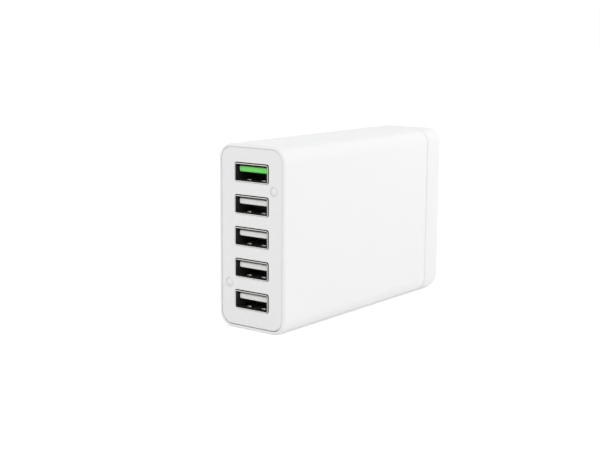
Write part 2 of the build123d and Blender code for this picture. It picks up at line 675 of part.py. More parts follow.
def make_transformer_winding():
    """Taped copper coil between the bobbin flanges."""
    z = MID_Z + TRANSFORMER_RISE
    low = BOARD_FACE_X + CORE_FOOT + CORE_PLATE + BOBBIN_FIT + BOBBIN_WALL
    high = BOARD_FACE_X + TRANSFORMER_HEIGHT - CORE_PLATE - BOBBIN_FIT - BOBBIN_WALL
    bore = CORE_CENTRE_RADIUS + BOBBIN_FIT + BOBBIN_WALL
    radius = TRANSFORMER_SPAN / 2 - CORE_OUTER_LEG - FIT_GAP - WINDING_MARGIN
    return prism_along_x(Circle(radius) - Circle(bore), low, high, TRANSFORMER_Y, z)


def make_bridge():
    """Flat bridge rectifier standing on four leads."""
    y = POWER_Y + 3 * PART_GAP + 2 * BULK_DIAMETER + BRIDGE_THICKNESS / 2
    z = MID_Z - BULK_DROP
    low = BOARD_FACE_X + 2 * LEAD
    body = block(
        low, low + BRIDGE_HEIGHT, y - BRIDGE_THICKNESS / 2, y + BRIDGE_THICKNESS / 2,
        z - BRIDGE_LENGTH / 2, z + BRIDGE_LENGTH / 2,
    )
    body = chamfer(body.edges().filter_by(Axis.Y).sort_by(Axis.Z)[-1], BRIDGE_THICKNESS / 2)
    for step in (-1.5, -0.5, 0.5, 1.5):
        body += make_lead(BOARD_FACE_X, low, y, z + step * BRIDGE_LENGTH / 4)
    return body


def make_transistor():
    """Power transistor with a metal tab, its back on y = 0 and its leads ending at x = 0."""
    half = SWITCH_WIDTH / 2
    top = SWITCH_LEAD + SWITCH_HEIGHT
    body = block(SWITCH_LEAD, top, -RECTIFIER_THICKNESS, 0, -half, half)
    body += block(top, top + SWITCH_TAB_HEIGHT, -LEAD, 0, -half + LEAD, half - LEAD)
    for step in (-1, 0, 1):
        body += make_lead(0, SWITCH_LEAD, -RECTIFIER_THICKNESS / 2, step * SWITCH_WIDTH / 3)
    return body


def make_power_sink():
    """Aluminium plate standing along the board beside the big capacitors."""
    z = MID_Z - POWER_SINK_DROP
    y = POWER_Y + PART_GAP
    return block(BOARD_FACE_X, BOARD_FACE_X + SINK_HEIGHT, y, y + POWER_SINK_LENGTH, z, z + SINK_THICKNESS)


def make_power_switch():
    """Switching transistor clipped flat against the power heat sink."""
    z = MID_Z - POWER_SINK_DROP + SINK_THICKNESS
    y = POWER_Y + PART_GAP + POWER_SINK_LENGTH - SWITCH_WIDTH
    return Pos(BOARD_FACE_X, y, z) * Rot(-90, 0, 0) * make_transistor()


def make_output_sink():
    """Aluminium plate standing across the board in front of the transformer."""
    z = MID_Z + OUTPUT_SINK_RISE
    y = POWER_Y - PART_GAP - SINK_THICKNESS
    return block(
        BOARD_FACE_X, BOARD_FACE_X + SINK_HEIGHT, y, y + SINK_THICKNESS,
        z - OUTPUT_SINK_LENGTH / 2, z + OUTPUT_SINK_LENGTH / 2,
    )


def make_output_rectifier():
    """Output transistor flat against the output heat sink."""
    y = POWER_Y - PART_GAP - SINK_THICKNESS
    return Pos(BOARD_FACE_X, y, MID_Z + OUTPUT_SINK_RISE) * make_transistor()


def make_optocoupler():
    """Moulded four-lead optocoupler lying flat on the board."""
    height, length, width = OPTOCOUPLER_SIZE
    y = POWER_Y - PART_GAP - length / 2
    z = MID_Z - OPTOCOUPLER_DROP
    return block(
        BOARD_FACE_X, BOARD_FACE_X + height, y - length / 2, y + length / 2, z - width / 2, z + width / 2
    )


def make_switching_controller():
    """Flat control chip on the solder side of the main board."""
    return block(
        BOARD_BACK_X - CONTROLLER_HEIGHT, BOARD_BACK_X,
        TRANSFORMER_Y - CONTROLLER_LENGTH / 2, TRANSFORMER_Y + CONTROLLER_LENGTH / 2,
        MID_Z - CONTROLLER_WIDTH / 2, MID_Z + CONTROLLER_WIDTH / 2,
    )


def make_fuse():
    """Round moulded fuse standing on the board."""
    y = INLET_Y + VARISTOR_THICKNESS + 2 * PART_GAP + FUSE_DIAMETER / 2
    fuse = rod_along_x(FUSE_DIAMETER / 2, BOARD_FACE_X, BOARD_FACE_X + FUSE_HEIGHT, y, MID_Z + INPUT_RISE)
    return chamfer(fuse.faces().sort_by(Axis.X)[-1].edges(), PART_BEVEL)


def make_x_capacitor():
    """Boxed film capacitor across the mains."""
    height, length, width = X_CAPACITOR_SIZE
    y = INLET_Y + PART_GAP
    z = MID_Z - INPUT_RISE
    box = block(BOARD_FACE_X, BOARD_FACE_X + height, y, y + length, z - width / 2, z + width / 2)
    return chamfer(box.faces().sort_by(Axis.X)[-1].edges(), PART_BEVEL)


def make_wall_sheet(x_from, thickness):
    """Thin sheet lying along the inside of a side wall."""
    return block(
        x_from, x_from + thickness, OUTPUT_Y + PART_GAP, SPIGOT_Y - PART_GAP,
        MID_Z - SHEET_HALF_HEIGHT, MID_Z + SHEET_HALF_HEIGHT,
    )


def make_thermal_pad():
    """Soft pad between the transformer core and the heat spreader."""
    z = MID_Z + TRANSFORMER_RISE
    pad = Rectangle(CORE_WIDTH, TRANSFORMER_SPAN)
    return prism_along_x(pad, BOARD_FACE_X + TRANSFORMER_HEIGHT, SPREADER_X, TRANSFORMER_Y, z)


def casing_nodes():
    """Sleeve, panel, cap and the screws with their plugs."""
    nodes = {"sleeve": make_sleeve(), "front_panel": make_front_panel(), "rear_cap": make_rear_cap()}
    for number, (x, z) in enumerate(screw_places(), 1):
        nodes[f"screw_plug_{number}"] = make_plug(x, z)
    nodes["panel_screws"] = Compound(children=[make_screw(x, z) for x, z in screw_places()])
    return nodes


def port_nodes():
    """Five receptacles on their board."""
    nodes = {"usb_board": make_usb_board()}
    for number, z in enumerate(port_heights(), 1):
        place = Pos(0, USB_FRONT_Y, z)
        nodes[f"usb_shell_{number}"] = place * make_usb_shell()
        nodes[f"usb_insulator_{number}"] = place * make_usb_insulator()
        nodes[f"usb_contacts_{number}"] = place * make_usb_contacts()
        nodes[f"charge_controller_{number}"] = make_charge_controller(z)
    return nodes


def input_nodes():
    """Mains inlet and the input parts of the main board."""
    varistor_y = INLET_Y + PART_GAP + VARISTOR_THICKNESS / 2
    choke = (CHOKE_DIAMETER, CHOKE_HEIGHT, CHOKE_Y, MID_Z + TRANSFORMER_RISE)
    return {
        "main_board": make_main_board(),
        "inlet_body": make_inlet_body(),
        "inlet_pin_lower": make_inlet_pin(-1),
        "inlet_pin_upper": make_inlet_pin(1),
        "fuse": make_fuse(),
        "varistor": make_disc(VARISTOR_DIAMETER, VARISTOR_THICKNESS, varistor_y, MID_Z + INPUT_RISE),
        "x_capacitor": make_x_capacitor(),
        "line_choke_core": make_ring_core(*choke),
        "line_choke_winding_1": make_ring_winding(*choke, -CHOKE_ARC / 2, CHOKE_ARC),
        "line_choke_winding_2": make_ring_winding(*choke, 180 - CHOKE_ARC / 2, CHOKE_ARC),
        "bridge_rectifier": make_bridge(),
    }


def power_nodes():
    """Capacitors, switch and transformer."""
    nodes = {f"bulk_capacitor_{index + 1}": make_bulk_capacitor(index) for index in range(2)}
    nodes["power_heat_sink"] = make_power_sink()
    nodes["power_switch"] = make_power_switch()
    nodes["switching_controller"] = make_switching_controller()
    nodes["transformer_core_lower"] = make_core_half(-1)
    nodes["transformer_core_upper"] = make_core_half(1)
    nodes["transformer_bobbin"] = make_bobbin()
    nodes["transformer_winding"] = make_transformer_winding()
    nodes["thermal_pad"] = make_thermal_pad()
    nodes["heat_spreader"] = make_wall_sheet(SPREADER_X, SPREADER_THICKNESS)
    nodes["insulating_sheet"] = make_wall_sheet(FIT_GAP - INNER_WIDTH / 2, SHEET_THICKNESS)
    return nodes


def output_nodes():
    """Low-voltage parts between the transformer and the ports."""
    choke_z = MID_Z + OUTPUT_CHOKE_RISE
    choke = (OUTPUT_CHOKE_DIAMETER, OUTPUT_CHOKE_HEIGHT, OUTPUT_CHOKE_Y, choke_z)
    y_capacitor_y = POWER_Y - PART_GAP - Y_CAPACITOR_THICKNESS / 2
    nodes = {}
    for index in range(OUTPUT_CAN_COUNT):
        nodes[f"output_capacitor_{index + 1}"] = make_output_capacitor(index)
    nodes["output_choke_core"] = make_ring_core(*choke)
    nodes["output_choke_winding"] = make_ring_winding(*choke, -CHOKE_ARC, 2 * CHOKE_ARC)
    nodes["output_heat_sink"] = make_output_sink()
    nodes["output_rectifier"] = make_output_rectifier()
    nodes["y_capacitor"] = make_disc(
        Y_CAPACITOR_DIAMETER, Y_CAPACITOR_THICKNESS, y_capacitor_y, MID_Z - Y_CAPACITOR_DROP
    )
    nodes["optocoupler"] = make_optocoupler()
    return nodes


os.makedirs("parts", exist_ok=True)
for group in (casing_nodes(), port_nodes(), input_nodes(), power_nodes(), output_nodes()):
    for node, shape in group.items():
        shape.label = node
        export_step(shape, f"parts/{node}.step")
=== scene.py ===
from math import asin, cos, pi, radians, sin

import bmesh
import bpy
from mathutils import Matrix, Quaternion, Vector


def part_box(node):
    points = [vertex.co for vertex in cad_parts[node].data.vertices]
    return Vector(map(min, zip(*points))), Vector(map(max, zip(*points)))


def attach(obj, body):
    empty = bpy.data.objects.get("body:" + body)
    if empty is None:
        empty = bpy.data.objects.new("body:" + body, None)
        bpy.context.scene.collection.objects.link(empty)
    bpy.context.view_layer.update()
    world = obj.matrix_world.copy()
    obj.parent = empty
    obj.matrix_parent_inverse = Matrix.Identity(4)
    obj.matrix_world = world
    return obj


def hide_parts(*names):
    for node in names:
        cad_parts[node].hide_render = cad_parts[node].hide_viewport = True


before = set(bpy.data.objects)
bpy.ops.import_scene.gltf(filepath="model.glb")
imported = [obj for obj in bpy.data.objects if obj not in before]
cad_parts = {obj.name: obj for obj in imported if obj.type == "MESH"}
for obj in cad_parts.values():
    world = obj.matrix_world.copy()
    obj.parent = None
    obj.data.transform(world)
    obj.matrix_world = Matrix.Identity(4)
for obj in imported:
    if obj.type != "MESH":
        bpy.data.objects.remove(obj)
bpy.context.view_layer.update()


# Sleeve: the long tube that makes up most of the casing. It is one white ABS moulding with
# rounded long edges, a soft front rim and a seat inside the rim for the port panel. Its inner
# rails and screw bosses are left to the CAD solid, because no side shows them.
MM = 0.001
CORNER_RADIUS = 5.0 * MM
RIM_WIDTH = 0.9 * MM
RIM_ROUND = 0.7 * MM
RIM_INNER_ROUND = 0.18 * MM
PANEL_SEAT = 2.4 * MM
WALL = 2.0 * MM
SEAM_ROUND = 0.6 * MM
CORNER_STEPS = 16
RIM_STEPS = 6
EDGE_STEPS = 3
POLYMER_IOR = 1.53
FLOW_CLOUD = 18.0 * MM
FLOW_DETAIL = 2.0
GRAIN_DETAIL = 3.0
GLOSS_DRIFT = 0.05
SMOOTH_BELOW = radians(32)


def linear(colour):
    """sRGB hex to a linear colour with full alpha."""
    channels = [int(colour[i:i + 2], 16) / 255 for i in (1, 3, 5)]
    return [c / 12.92 if c <= 0.04045 else ((c + 0.055) / 1.055) ** 2.4 for c in channels] + [1.0]


def add(tree, kind, inputs, **settings):
    """One node with its settings, and its inputs linked or set."""
    node = tree.nodes.new(kind)
    for name, value in settings.items():
        setattr(node, name, value)
    for name, value in inputs.items():
        if isinstance(value, bpy.types.NodeSocket):
            tree.links.new(value, node.inputs[name])
        else:
            node.inputs[name].default_value = value
    return node


def new_material(name):
    """Empty node material with its tree, object coordinates and surface shader."""
    material = bpy.data.materials.new(name)
    material.use_nodes = True
    tree = material.node_tree
    shader = tree.nodes["Principled BSDF"]
    place = add(tree, "ShaderNodeTexCoord", {}).outputs["Object"]
    return material, tree, shader, place


def grained(name, colour, tint, roughness, grain_mm, depth_mm):
    """Grained non-metal: a surface texture, a slow change of gloss and a trace of uneven pigment."""
    material, tree, shader, place = new_material(name)
    shader.inputs["IOR"].default_value = POLYMER_IOR
    cloud = add(tree, "ShaderNodeTexNoise", {
        "Vector": place, "Scale": 1 / FLOW_CLOUD, "Detail": FLOW_DETAIL})
    gloss = add(tree, "ShaderNodeMapRange", {
        "Value": cloud.outputs["Fac"],
        "To Min": roughness - GLOSS_DRIFT, "To Max": roughness + GLOSS_DRIFT})
    tree.links.new(gloss.outputs["Result"], shader.inputs["Roughness"])
    shade = add(tree, "ShaderNodeMix", {
        "Factor": cloud.outputs["Fac"], "A": linear(colour), "B": linear(tint)}, data_type="RGBA")
    tree.links.new(shade.outputs["Result"], shader.inputs["Base Color"])
    grain = add(tree, "ShaderNodeTexNoise", {
        "Vector": place, "Scale": 1 / (grain_mm * MM), "Detail": GRAIN_DETAIL})
    bump = add(tree, "ShaderNodeBump", {"Height": grain.outputs["Fac"], "Distance": depth_mm * MM})
    tree.links.new(bump.outputs["Normal"], shader.inputs["Normal"])
    return material


def finish_piece(name, shape, material, slot, *nodes):
    """Turns a finished bmesh into an object that rides with the charger and stands for CAD nodes."""
    bmesh.ops.recalc_face_normals(shape, faces=shape.faces)
    mesh = bpy.data.meshes.new(name)
    shape.to_mesh(mesh)
    shape.free()
    mesh.polygons.foreach_set("use_smooth", [True] * len(mesh.polygons))
    mesh.set_sharp_from_angle(angle=SMOOTH_BELOW)
    mesh.materials.append(material)
    piece = bpy.data.objects.new(name, mesh)
    bpy.context.scene.collection.objects.link(piece)
    piece.modifiers.new("flat_faces_stay_flat", "WEIGHTED_NORMAL").keep_sharp = True
    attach(piece, "root")
    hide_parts(*nodes)
    return piece


def round_edges(shape, edges, radius, segments, clamp=False):
    """Rounds edges to a radius, or to less where small faces leave no room if clamp is set."""
    bmesh.ops.bevel(shape, geom=edges, offset=radius, offset_type="OFFSET", segments=segments,
                    profile=0.5, affect="EDGES", material=-1, clamp_overlap=clamp)


def rounded_tube_block(node, low_y, high_y):
    """Block with the casing's rounded long edges, between two depth stations."""
    low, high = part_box(node)
    low.y, high.y = low_y, high_y
    shape = bmesh.new()
    bmesh.ops.create_cube(shape, size=1.0)
    bmesh.ops.scale(shape, vec=high - low, verts=shape.verts)
    bmesh.ops.translate(shape, vec=(low + high) / 2, verts=shape.verts)
    long_edges = [e for e in shape.edges if abs(e.verts[0].co.y - e.verts[1].co.y) > WALL]
    round_edges(shape, long_edges, CORNER_RADIUS, CORNER_STEPS)
    return shape


def end_face(shape, direction):
    """The frontmost (-1) or rearmost (+1) face."""
    return max(shape.faces, key=lambda face: direction * face.calc_center_median().y)


sleeve_low, sleeve_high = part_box("sleeve")
seam_y = sleeve_high.y
# White ABS from a finely spark-eroded mould: a clean satin white with soft, blurred highlights.
# Its true grain, about 0.03 mm, is finer than a pixel, so it is drawn ten times coarser.
white_abs = grained("white_abs_moulding", "#F5F5F6", "#F4F4F5",
                    roughness=0.3, grain_mm=0.35, depth_mm=0.0012)
sleeve = rounded_tube_block("sleeve", sleeve_low.y, seam_y)
front = end_face(sleeve, -1)
rear = end_face(sleeve, 1)
front_outline = list(front.edges)
rear_outline = list(rear.edges)
bmesh.ops.inset_region(sleeve, faces=[front], thickness=RIM_WIDTH, use_even_offset=True)
rim_inside = list(front.edges)
bmesh.ops.inset_region(sleeve, faces=[front], thickness=0.0, depth=-PANEL_SEAT)
bmesh.ops.inset_region(sleeve, faces=[front], thickness=WALL - RIM_WIDTH, use_even_offset=True)
bmesh.ops.inset_region(sleeve, faces=[rear], thickness=WALL, use_even_offset=True)
bore_edges = list(front.edges) + list(rear.edges)
bmesh.ops.delete(sleeve, geom=[front, rear], context="FACES_ONLY")
bmesh.ops.bridge_loops(sleeve, edges=bore_edges)
round_edges(sleeve, front_outline, RIM_ROUND, RIM_STEPS)
round_edges(sleeve, rim_inside, RIM_INNER_ROUND, EDGE_STEPS)
round_edges(sleeve, rear_outline, SEAM_ROUND, EDGE_STEPS)
finish_piece("casing_sleeve", sleeve, white_abs, "casing_white", "sleeve")


# Front panel: a flat white ABS plate pressed into the sleeve's front seat, with a window for
# each port, a hair wider on the right and above. It sits up and to the left in its seat, so the
# line below it is the widest.
PORTS = range(1, 6)
PANEL_SOFT = 0.06 * MM
HAIR_STEPS = 2
PANEL_SHIFT = Vector((-0.08, -0.16, 0.09)) * MM
WINDOW_EASE_RIGHT = 0.13 * MM
WINDOW_EASE_UP = 0.06 * MM
WINDOW_REACH = 0.6 * MM
WELD = 0.001 * MM
DISSOLVE = radians(0.6)
SHARP = radians(28)


def node_copy(node):
    """Copy of a CAD node with its true faces restored."""
    shape = bmesh.new()
    shape.from_mesh(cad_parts[node].data)
    bmesh.ops.remove_doubles(shape, verts=shape.verts, dist=WELD)
    bmesh.ops.dissolve_limit(shape, angle_limit=DISSOLVE, verts=shape.verts, edges=shape.edges)
    return shape


def sharp_edges(shape):
    """Edges at which two faces meet at a plain corner."""
    return [e for e in shape.edges if e.is_manifold and e.calc_face_angle(0.0) > SHARP]


def softened(name, node, width, segments, material, slot, shift=(0, 0, 0)):
    """Piece like a CAD node, with all its sharp edges rounded by a hair."""
    shape = node_copy(node)
    round_edges(shape, sharp_edges(shape), width, segments, clamp=True)
    bmesh.ops.translate(shape, vec=shift, verts=shape.verts)
    return finish_piece(name, shape, material, slot, node)


# The same ABS from a smoother mould: flatter and a shade warmer, with hardly any sheen. The grain
# is drawn coarser than the true one here too.
panel_abs = grained("panel_abs_moulding", "#F4F4F3", "#F2F2F2",
                    roughness=0.34, grain_mm=0.5, depth_mm=0.0006)
panel = node_copy("front_panel")
for number in PORTS:
    low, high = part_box(f"usb_shell_{number}")
    middle = (low + high) / 2
    reach = (high - low) / 2 + Vector((WINDOW_REACH, 0, WINDOW_REACH))
    window = [v for v in panel.verts
              if abs(v.co.x - middle.x) < reach.x and abs(v.co.z - middle.z) < reach.z]
    right_side = [v for v in window if v.co.x > middle.x]
    upper_side = [v for v in window if v.co.z > middle.z]
    bmesh.ops.translate(panel, vec=(WINDOW_EASE_RIGHT, 0, 0), verts=right_side)
    bmesh.ops.translate(panel, vec=(0, 0, WINDOW_EASE_UP), verts=upper_side)
round_edges(panel, sharp_edges(panel), PANEL_SOFT, HAIR_STEPS, clamp=True)
bmesh.ops.translate(panel, vec=PANEL_SHIFT, verts=panel.verts)
finish_piece("port_panel", panel, panel_abs, "panel_white", "front_panel")


# Screw plugs: two small white buttons pushed into the screw holes of the panel, upper right and
# lower left of the ports. Each is turned to a low dome that stands a little proud of the panel.
PLUG_STEPS = 48
PLUG_RINGS = 8
DOME_RISE = 0.4 * MM
PLUG_SHIFT = Vector((0.02, 0.08, 0.02)) * MM
PLUG_PAINTED_SHADE_FROM = 0.04 * MM
PLUG_PAINTED_SHADE_TO = 0.2 * MM
LIP_FACING = -0.9
LIP_TURNED = -0.7


def turned(profile, centre):
    """Spins a profile of (radius, depth) points round the front-to-back line through a centre."""
    shape = bmesh.new()
    verts = [shape.verts.new((centre.x + radius, depth, centre.z)) for radius, depth in profile]
    edges = [shape.edges.new(pair) for pair in zip(verts, verts[1:])]
    bmesh.ops.spin(shape, geom=verts + edges, cent=centre, axis=(0, 1, 0), angle=2 * pi,
                   steps=PLUG_STEPS, use_merge=True)
    bmesh.ops.remove_doubles(shape, verts=shape.verts, dist=WELD)
    return shape


def paint_depth_shade(material, front_y, dark, start, end, bright_lips):
    """Paints shade into a finish with depth, where little light reaches it in the real piece.

    Faces that look straight forward are left out of the painted shade if bright_lips is set.
    """
    tree = material.node_tree
    shader = tree.nodes["Principled BSDF"]
    place = add(tree, "ShaderNodeTexCoord", {})
    along = add(tree, "ShaderNodeSeparateXYZ", {"Vector": place.outputs["Object"]})
    # The depth ramp sets the strength of the painted shade: none at start, full at end behind
    # front_y.
    depth = add(tree, "ShaderNodeMapRange", {
        "Value": along.outputs["Y"], "From Min": front_y + start, "From Max": front_y + end})
    painted_shade = depth.outputs["Result"]
    if bright_lips:
        facing = add(tree, "ShaderNodeSeparateXYZ", {"Vector": place.outputs["Normal"]})
        turned_in = add(tree, "ShaderNodeMapRange", {
            "Value": facing.outputs["Y"], "From Min": LIP_FACING, "From Max": LIP_TURNED})
        painted_shade = add(tree, "ShaderNodeMath", {0: painted_shade, 1: turned_in.outputs["Result"]},
                   operation="MULTIPLY").outputs["Value"]
    colour = add(tree, "ShaderNodeMix", {"Factor": painted_shade, "B": linear(dark)}, data_type="RGBA")
    bright = shader.inputs["Base Color"]
    if bright.is_linked:
        tree.links.new(bright.links[0].from_socket, colour.inputs["A"])
    else:
        colour.inputs["A"].default_value = bright.default_value
    tree.links.new(colour.outputs["Result"], bright)
    if shader.inputs["Metallic"].default_value:
        metal = add(tree, "ShaderNodeMath", {0: 1.0, 1: painted_shade}, operation="SUBTRACT")
        tree.links.new(metal.outputs["Value"], shader.inputs["Metallic"])


plug_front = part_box("screw_plug_1")[0].y + PANEL_SHIFT.y + PLUG_SHIFT.y
# The panel's ABS again: a pale dome, with shade painted in towards its foot, where it goes into the
# hole.
plug_abs = grained("plug_abs_moulding", "#F4F4F3", "#F2F2F2",
                   roughness=0.34, grain_mm=0.5, depth_mm=0.0006)
paint_depth_shade(plug_abs, plug_front, "#EAEAE9", PLUG_PAINTED_SHADE_FROM, PLUG_PAINTED_SHADE_TO, bright_lips=False)
for number in (1, 2):
    node = f"screw_plug_{number}"
    low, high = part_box(node)
    radius = (high.x - low.x) / 2
    dome = (radius ** 2 + DOME_RISE ** 2) / (2 * DOME_RISE)
    tilt = asin(radius / dome)
    arc = [tilt * step / PLUG_RINGS for step in range(PLUG_RINGS + 1)]
    profile = [(dome * sin(turn), low.y + dome * (1 - cos(turn))) for turn in arc]
    profile += [(radius, high.y), (0.0, high.y)]
    plug = turned(profile, (low + high) / 2)
    bmesh.ops.translate(plug, vec=PANEL_SHIFT + PLUG_SHIFT, verts=plug.verts)
    finish_piece(f"panel_plug_{number}", plug, plug_abs, "casing_white", node)


# Port receptacles: nickel-plated steel sheet folded to a tube, with spring tabs pressed inwards
# from its top and bottom. Each stands in a panel window and is soldered to the board behind.
SHEET_SOFT = 0.05 * MM
LIP_ROUND = 0.13 * MM
LIP_STEPS = 4
LIP_DEPTH = 0.3 * MM
LINE_STRETCH = 0.06
LINE_DETAIL = 2.0
LINE_DEPTH = 0.001 * MM
LINE_STRENGTH = 0.6
LINE_SHINE = 0.06
LINE_DULL = 0.08
PORT_PAINTED_SHADE_FROM = 0.01 * MM
PORT_PAINTED_SHADE_TO = 0.06 * MM
PORT_SHIFT = Vector((-0.09, -0.13, 0.0)) * MM


def drawn_metal(name, colour, roughness, line_mm):
    """Rolled, drawn or stamped metal: bright, with fine lines along its length."""
    material, tree, shader, place = new_material(name)
    shader.inputs["Base Color"].default_value = linear(colour)
    shader.inputs["Metallic"].default_value = 1.0
    stretch = add(tree, "ShaderNodeMapping", {"Vector": place, "Scale": (1.0, LINE_STRETCH, 1.0)})
    lines = add(tree, "ShaderNodeTexNoise", {
        "Vector": stretch.outputs["Vector"], "Scale": 1 / (line_mm * MM), "Detail": LINE_DETAIL})
    gloss = add(tree, "ShaderNodeMapRange", {
        "Value": lines.outputs["Fac"],
        "To Min": roughness - LINE_SHINE, "To Max": roughness + LINE_DULL})
    tree.links.new(gloss.outputs["Result"], shader.inputs["Roughness"])
    bump = add(tree, "ShaderNodeBump", {
        "Height": lines.outputs["Fac"], "Distance": LINE_DEPTH, "Strength": LINE_STRENGTH})
    tree.links.new(bump.outputs["Normal"], shader.inputs["Normal"])
    return material


port_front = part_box("usb_shell_1")[0].y
lip_end = port_front + LIP_DEPTH
# Bright nickel over rolled steel: a grey mirror blurred by rolling lines, which are drawn at
# 0.12 mm because the true ones, about 0.01 mm, are too fine to show. Inside, shade is painted in.
nickel_sheet = drawn_metal("nickel_plated_sheet", "#D2D0CC", roughness=0.3, line_mm=0.12)
paint_depth_shade(nickel_sheet, port_front + PORT_SHIFT.y, "#343433", PORT_PAINTED_SHADE_FROM, PORT_PAINTED_SHADE_TO,
            bright_lips=True)
for number in PORTS:
    node = f"usb_shell_{number}"
    receptacle = node_copy(node)
    lips = [e for e in sharp_edges(receptacle) if max(v.co.y for v in e.verts) < lip_end]
    round_edges(receptacle, lips, LIP_ROUND, LIP_STEPS)
    inner = [e for e in sharp_edges(receptacle) if min(v.co.y for v in e.verts) > lip_end]
    round_edges(receptacle, inner, SHEET_SOFT, HAIR_STEPS, clamp=True)
    bmesh.ops.translate(receptacle, vec=PORT_SHIFT, verts=receptacle.verts)
    finish_piece(f"port_shell_{number}", receptacle, nickel_sheet, "connector_steel", node)


# Port tongues: the plastic blade and rear block inside each receptacle, moulded in glass-filled
# nylon. The top port's is bright green and the others are white.
TONGUE_SOFT = 0.2 * MM
TONGUE_PAINTED_SHADE_FROM = 1.6 * MM
TONGUE_PAINTED_SHADE_TO = 3.0 * MM
# Glass-filled nylon straight from the mould: a dense, dry colour with little shine, with shade
# painted in behind the blade's nose. The fibre grain is drawn coarser so that it shows.
green_nylon = grained("green_nylon", "#7AEB6C", "#74E566",
                      roughness=0.42, grain_mm=0.3, depth_mm=0.001)
white_nylon = grained("white_nylon", "#F4F4F2", "#F0F0EE",
                      roughness=0.45, grain_mm=0.3, depth_mm=0.001)
for nylon, dark in ((green_nylon, "#03140A"), (white_nylon, "#484848")):
    paint_depth_shade(nylon, port_front, dark, TONGUE_PAINTED_SHADE_FROM, TONGUE_PAINTED_SHADE_TO, bright_lips=False)
for number in PORTS:
    nylon, slot = (green_nylon, "tongue_green") if number == 1 else (white_nylon, "tongue_white")
    softened(f"port_tongue_{number}", f"usb_insulator_{number}", TONGUE_SOFT, EDGE_STEPS,
             nylon, slot, PORT_SHIFT)


# Port contacts: four bowed strips under each tongue, stamped from brass and gold plated.
# They run back through the block and end in feet on the port board.
CONTACT_SOFT = 0.03 * MM
CONTACT_STEPS = 1
# A thin gold flash over stamped brass: small warm glints under the blade, with shade painted in
# further back.
gold_plate = drawn_metal("gold_plated_brass", "#D9B462", roughness=0.28, line_mm=0.08)
paint_depth_shade(gold_plate, port_front, "#3A3020", TONGUE_PAINTED_SHADE_FROM, TONGUE_PAINTED_SHADE_TO,
            bright_lips=True)
for number in PORTS:
    softened(f"port_contacts_{number}", f"usb_contacts_{number}", CONTACT_SOFT, CONTACT_STEPS,
             gold_plate, "contact_gold", PORT_SHIFT)


# Mains inlet: a black moulding with a figure-eight socket, set in the rear cap, and two round
# nickel-plated brass pins with rounded tips inside it.
INLET_SOFT = 0.12 * MM
PIN_SOFT = 0.1 * MM
# Black PBT polyester, moulded: near black, with broad weak highlights on a fine matt grain.
black_pbt = grained("black_pbt_moulding", "#191A1B", "#1E1F20",
                    roughness=0.5, grain_mm=0.3, depth_mm=0.002)
softened("mains_inlet", "inlet_body", INLET_SOFT, HAIR_STEPS, black_pbt, "inlet_black")
# Nickel over turned brass: a pale, slightly warm metal with a crisp glint on the rounded tip.
nickel_pin = drawn_metal("nickel_plated_brass", "#C9C5BB", roughness=0.24, line_mm=0.1)
for side in ("lower", "upper"):
    softened(f"mains_pin_{side}", f"inlet_pin_{side}", PIN_SOFT, EDGE_STEPS,
             nickel_pin, "pin_nickel")


# Rear cap: the closed end of the casing, the same white ABS as the sleeve. Its rear edges are
# well rounded, and a fine open line is left at the seam. The spigot that snaps into the sleeve
# is out of sight and left to the CAD solid.
SEAM_GAP = 0.2 * MM
CAP_ROUND = 4.0 * MM
CAP_STEPS = 12
NOSE_RADIUS = 5.0 * MM
PIN_PITCH = 8.6 * MM
OPENING_ROUND = 0.25 * MM
OPENING_SIDES = 68

cap_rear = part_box("rear_cap")[1].y
inlet_low, inlet_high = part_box("inlet_body")
cap_front = seam_y + SEAM_GAP
cap = rounded_tube_block("rear_cap", cap_front, cap_rear)
rear = end_face(cap, 1)
round_edges(cap, list(rear.edges), CAP_ROUND, CAP_STEPS)
front = end_face(cap, -1)
seam_outline = list(front.edges)
bmesh.ops.inset_region(cap, faces=[front], thickness=WALL, use_even_offset=True)
bmesh.ops.inset_region(cap, faces=[front], thickness=0.0, depth=cap_front + WALL - cap_rear)
inner_rear_edges = list(front.edges)
rear = end_face(cap, 1)
bmesh.ops.inset_region(cap, faces=[rear], thickness=OPENING_ROUND, use_even_offset=True)
rear_edges = list(rear.edges)
bmesh.ops.delete(cap, geom=[front, rear], context="FACES_ONLY")
opening = bmesh.ops.create_circle(cap, segments=OPENING_SIDES, radius=NOSE_RADIUS)["verts"]
upright = Quaternion((1, 0, 0), pi / 2)
half_side = Quaternion((0, 1, 0), pi / OPENING_SIDES)
bmesh.ops.rotate(cap, cent=(0, 0, 0), matrix=(half_side @ upright).to_matrix(), verts=opening)
for side in (-1, 1):
    lobe = [v for v in opening if v.co.z * side > 0]
    bmesh.ops.translate(cap, vec=(0, 0, side * PIN_PITCH / 2), verts=lobe)
inlet_middle = (inlet_low + inlet_high) / 2
bmesh.ops.translate(cap, vec=(inlet_middle.x, cap_rear, inlet_middle.z), verts=opening)
mouth = list({e for v in opening for e in v.link_edges})
bmesh.ops.bridge_loops(cap, edges=rear_edges + mouth)
wall = bmesh.ops.extrude_edge_only(cap, edges=mouth)["geom"]
inner_mouth = [v for v in wall if isinstance(v, bmesh.types.BMVert)]
bmesh.ops.translate(cap, vec=(0, -WALL, 0), verts=inner_mouth)
inner_mouth_edges = [e for e in wall if isinstance(e, bmesh.types.BMEdge)]
bmesh.ops.bridge_loops(cap, edges=inner_rear_edges + inner_mouth_edges)
round_edges(cap, mouth, OPENING_ROUND, EDGE_STEPS)
round_edges(cap, seam_outline, SEAM_ROUND, EDGE_STEPS)
finish_piece("casing_rear_cap", cap, white_abs, "casing_white", "rear_cap")


# Boards: the upright port board and the long main board, glass-epoxy laminate under green
# solder mask. The main board slides in the sleeve's rails and its tabs enter the port board.
def paint(material, *nodes):
    """Gives CAD nodes that stay as they are their finish."""
    for node in nodes:
        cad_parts[node].material_slots[0].material = material


